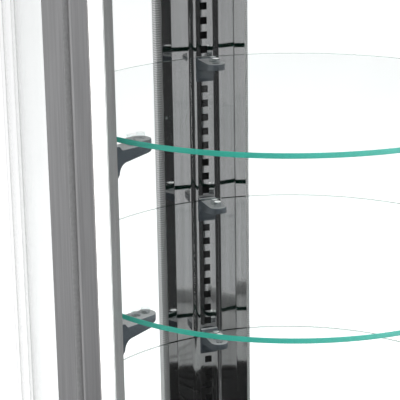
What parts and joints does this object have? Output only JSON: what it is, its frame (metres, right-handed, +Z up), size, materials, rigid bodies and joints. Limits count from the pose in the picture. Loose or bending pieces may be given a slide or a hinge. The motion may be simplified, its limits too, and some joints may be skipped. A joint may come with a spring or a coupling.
{
  "type": "round refrigerated display case",
  "caption": "Round refrigerated display case with curved double glazing, a hinged curved glass door and round glass shelves on hooked brackets.",
  "frame": {"origin": "middle of the footprint on the floor", "axes": "+Z up, -Y out of the middle of the door, +X to the right seen from the front"},
  "size_m": [0.68, 0.68, 1.75],
  "materials": {
    "silver_paint": "satin",
    "satin_aluminium": "satin",
    "polished_steel": "polished",
    "brushed_rail": "brushed",
    "clear_glass": "polished",
    "black_bracket": "satin",
    "clear_bumper": "glossy",
    "lamp_lens": "translucent",
    "grey_seal": "matte",
    "white_liner": "satin",
    "spacer_aluminium": "satin",
    "galvanised": "matte",
    "black_enamel": "gloss",
    "fin_pack": "matte",
    "black_plastic": "matte",
    "copper": "satin",
    "black_rubber": "matte",
    "display_glass": "gloss",
    "control_black": "satin",
    "grey_key": "satin"
  },
  "bodies": {
    "case": {"base_pan": "galvanised", "base_shell": "silver_paint", "bumpers": "clear_bumper", "compressor": "black_enamel", "compressor_mounts": "black_rubber", "condenser": "fin_pack", "condenser_fan_shroud": "galvanised", "control_panel": "control_black", "copper_lines": "copper", "display_window": "display_glass", "drip_tray": "black_plastic", "electrical_box": "black_plastic", "evaporator": "fin_pack", "evaporator_fan_motor": "black_plastic", "floor_tray": "white_liner", "foam_deck": "white_liner", "glass_seals": "grey_seal", "glass_spacers": "spacer_aluminium", "hinge_brackets": "galvanised", "hinge_pins": "brushed_rail", "jamb_rails": "brushed_rail", "led_lenses": "lamp_lens", "left_jamb": "satin_aluminium", "left_pane_inner": "clear_glass", "left_pane_outer": "clear_glass", "power_inlet": "black_plastic", "rear_column_back": "satin_aluminium", "rear_column_cap": "satin_aluminium", "rear_column_cover": "polished_steel", "right_jamb": "satin_aluminium", "right_pane_inner": "clear_glass", "right_pane_outer": "clear_glass", "roof_slab": "white_liner", "shelf_brackets": "black_bracket", "top_cap": "silver_paint"},
    "door": {"door_bottom_rail": "satin_aluminium", "door_gasket": "grey_seal", "door_handle": "satin_aluminium", "door_hinge_stile": "satin_aluminium", "door_lock_stile": "satin_aluminium", "door_pane_inner": "clear_glass", "door_pane_outer": "clear_glass", "door_spacer": "spacer_aluminium", "door_top_rail": "satin_aluminium"},
    "condenser_fan": {"condenser_fan": "black_plastic"},
    "evaporator_fan": {"evaporator_fan": "black_plastic"},
    "light_switch": {"light_switch": "grey_key"},
    "power_switch": {"power_switch": "grey_key"},
    "set_button": {"set_button": "grey_key"},
    "up_button": {"up_button": "grey_key"},
    "down_button": {"down_button": "grey_key"},
    "shelf_1": {"glass_shelf_1": "clear_glass"},
    "shelf_2": {"glass_shelf_2": "clear_glass"},
    "shelf_3": {"glass_shelf_3": "clear_glass"},
    "shelf_4": {"glass_shelf_4": "clear_glass"},
    "shelf_5": {"glass_shelf_5": "clear_glass"},
    "foot_1": {"levelling_foot_1": "black_rubber"},
    "foot_2": {"levelling_foot_2": "black_rubber"},
    "foot_3": {"levelling_foot_3": "black_rubber"},
    "foot_4": {"levelling_foot_4": "black_rubber"}
  },
  "joints": [
    {"name": "door_hinge", "type": "hinge", "parent": "case", "child": "door", "pos_m": [-0.29243, -0.15087, 0.4], "axis": [0, 0, -1], "range_deg": [0, 105]},
    {"name": "shelf_1_lift", "type": "slide", "parent": "case", "child": "shelf_1", "axis": [0, 0, 1], "range_m": [0, 0.06]},
    {"name": "shelf_2_lift", "type": "slide", "parent": "case", "child": "shelf_2", "axis": [0, 0, 1], "range_m": [0, 0.06]},
    {"name": "shelf_3_lift", "type": "slide", "parent": "case", "child": "shelf_3", "axis": [0, 0, 1], "range_m": [0, 0.06]},
    {"name": "shelf_4_lift", "type": "slide", "parent": "case", "child": "shelf_4", "axis": [0, 0, 1], "range_m": [0, 0.06]},
    {"name": "shelf_5_lift", "type": "slide", "parent": "case", "child": "shelf_5", "axis": [0, 0, 1], "range_m": [0, 0.06]},
    {"name": "condenser_fan_spin", "type": "hinge", "parent": "case", "child": "condenser_fan", "pos_m": [0, -0.178, 0.123], "axis": [0, 1, 0], "continuous": true},
    {"name": "evaporator_fan_spin", "type": "hinge", "parent": "case", "child": "evaporator_fan", "pos_m": [0, -0.11, 0.362], "axis": [0, 0, 1], "continuous": true},
    {"name": "light_switch_rock", "type": "hinge", "parent": "case", "child": "light_switch", "pos_m": [0.036, -0.331, 0.255], "axis": [1, 0, 0], "range_deg": [0, 14]},
    {"name": "power_switch_rock", "type": "hinge", "parent": "case", "child": "power_switch", "pos_m": [0.057, -0.331, 0.255], "axis": [1, 0, 0], "range_deg": [0, 14]},
    {"name": "set_press", "type": "slide", "parent": "case", "child": "set_button", "axis": [0, 1, 0], "range_m": [0, 0.001], "stiffness_N_per_m": 400},
    {"name": "up_press", "type": "slide", "parent": "case", "child": "up_button", "axis": [0, 1, 0], "range_m": [0, 0.001], "stiffness_N_per_m": 400},
    {"name": "down_press", "type": "slide", "parent": "case", "child": "down_button", "axis": [0, 1, 0], "range_m": [0, 0.001], "stiffness_N_per_m": 400},
    {"name": "foot_1_turn", "type": "hinge", "parent": "case", "child": "foot_1", "pos_m": [0.19092, 0.19092, 0], "axis": [0, 0, 1], "continuous": true},
    {"name": "foot_2_turn", "type": "hinge", "parent": "case", "child": "foot_2", "pos_m": [-0.19092, 0.19092, 0], "axis": [0, 0, 1], "continuous": true},
    {"name": "foot_3_turn", "type": "hinge", "parent": "case", "child": "foot_3", "pos_m": [-0.19092, -0.19092, 0], "axis": [0, 0, 1], "continuous": true},
    {"name": "foot_4_turn", "type": "hinge", "parent": "case", "child": "foot_4", "pos_m": [0.19092, -0.19092, 0], "axis": [0, 0, 1], "continuous": true}
  ]
}
